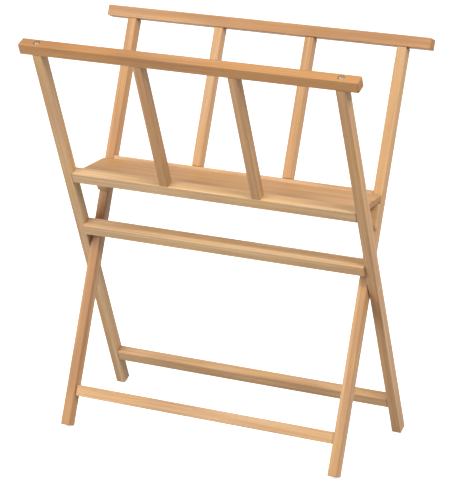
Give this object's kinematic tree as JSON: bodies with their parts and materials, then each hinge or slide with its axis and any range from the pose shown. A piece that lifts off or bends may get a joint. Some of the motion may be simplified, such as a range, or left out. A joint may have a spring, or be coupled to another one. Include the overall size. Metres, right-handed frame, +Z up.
{
  "type": "folding print browser rack",
  "caption": "Beech print browser rack: crossed ladder frames pivoted at the sides, a hinged shelf board between them and open slatted racks front and back.",
  "frame": {"origin": "on the floor, under the middle of the rack, midway between the front and back feet", "axes": "+X along the rails to the right as seen from the front, +Y to the back, +Z up"},
  "size_m": [0.82, 0.4438, 0.9357],
  "materials": {
    "beech": "satin",
    "board_beech": "satin",
    "dowel_beech": "matte",
    "zinc": "satin",
    "hinge_steel": "satin"
  },
  "bodies": {
    "outer_frame": {"outer_leg_left": "beech", "outer_leg_right": "beech", "front_strut_left": "beech", "front_strut_right": "beech", "front_top_rail": "beech", "front_shelf_rail": "beech", "mid_stretcher": "beech", "rear_stretcher": "beech", "front_rail_bolt_left": "zinc", "front_rail_bolt_right": "zinc", "front_strut_top_dowel_left": "dowel_beech", "front_strut_top_dowel_right": "dowel_beech", "front_strut_foot_dowel_left": "dowel_beech", "front_strut_foot_dowel_right": "dowel_beech", "front_shelf_rail_dowel_left": "dowel_beech", "front_shelf_rail_dowel_right": "dowel_beech", "mid_stretcher_dowel_left": "dowel_beech", "mid_stretcher_dowel_right": "dowel_beech", "rear_stretcher_dowel_left": "dowel_beech", "rear_stretcher_dowel_right": "dowel_beech", "pivot_bolt_left": "zinc", "pivot_bolt_right": "zinc", "pivot_plug_left": "dowel_beech", "pivot_plug_right": "dowel_beech", "pivot_washer_left": "hinge_steel", "pivot_washer_right": "hinge_steel", "hinge_rail_leaf_left": "hinge_steel", "hinge_rail_leaf_right": "hinge_steel", "hinge_pin_left": "zinc", "hinge_pin_right": "zinc"},
    "inner_frame": {"inner_leg_left": "beech", "inner_leg_right": "beech", "back_strut_left": "beech", "back_strut_right": "beech", "back_top_rail": "beech", "back_shelf_rail": "beech", "front_stretcher": "beech", "back_rail_bolt_left": "zinc", "back_rail_bolt_right": "zinc", "back_strut_top_dowel_left": "dowel_beech", "back_strut_top_dowel_right": "dowel_beech", "back_strut_foot_dowel_left": "dowel_beech", "back_strut_foot_dowel_right": "dowel_beech", "back_shelf_rail_dowel_left": "dowel_beech", "back_shelf_rail_dowel_right": "dowel_beech", "front_stretcher_dowel_left": "dowel_beech", "front_stretcher_dowel_right": "dowel_beech", "shelf_cleat_left": "beech", "shelf_cleat_right": "beech", "cleat_screw_left": "zinc", "cleat_screw_right": "zinc", "pivot_sleeve_left": "hinge_steel", "pivot_sleeve_right": "hinge_steel"},
    "shelf": {"shelf_board": "board_beech", "hinge_board_leaf_left": "hinge_steel", "hinge_board_leaf_right": "hinge_steel"}
  },
  "joints": [
    {"name": "frame_fold", "type": "hinge", "parent": "outer_frame", "child": "inner_frame", "pos_m": [0, 0, 0.40452], "axis": [1, 0, 0], "range_deg": [0, 8]},
    {"name": "shelf_lift", "type": "hinge", "parent": "outer_frame", "child": "shelf", "pos_m": [0, -0.06183, 0.6037], "axis": [1, 0, 0], "range_deg": [0, 104]}
  ],
  "couplings": [
    {"joint": "shelf_lift", "follows": "frame_fold", "ratio": 13}
  ]
}
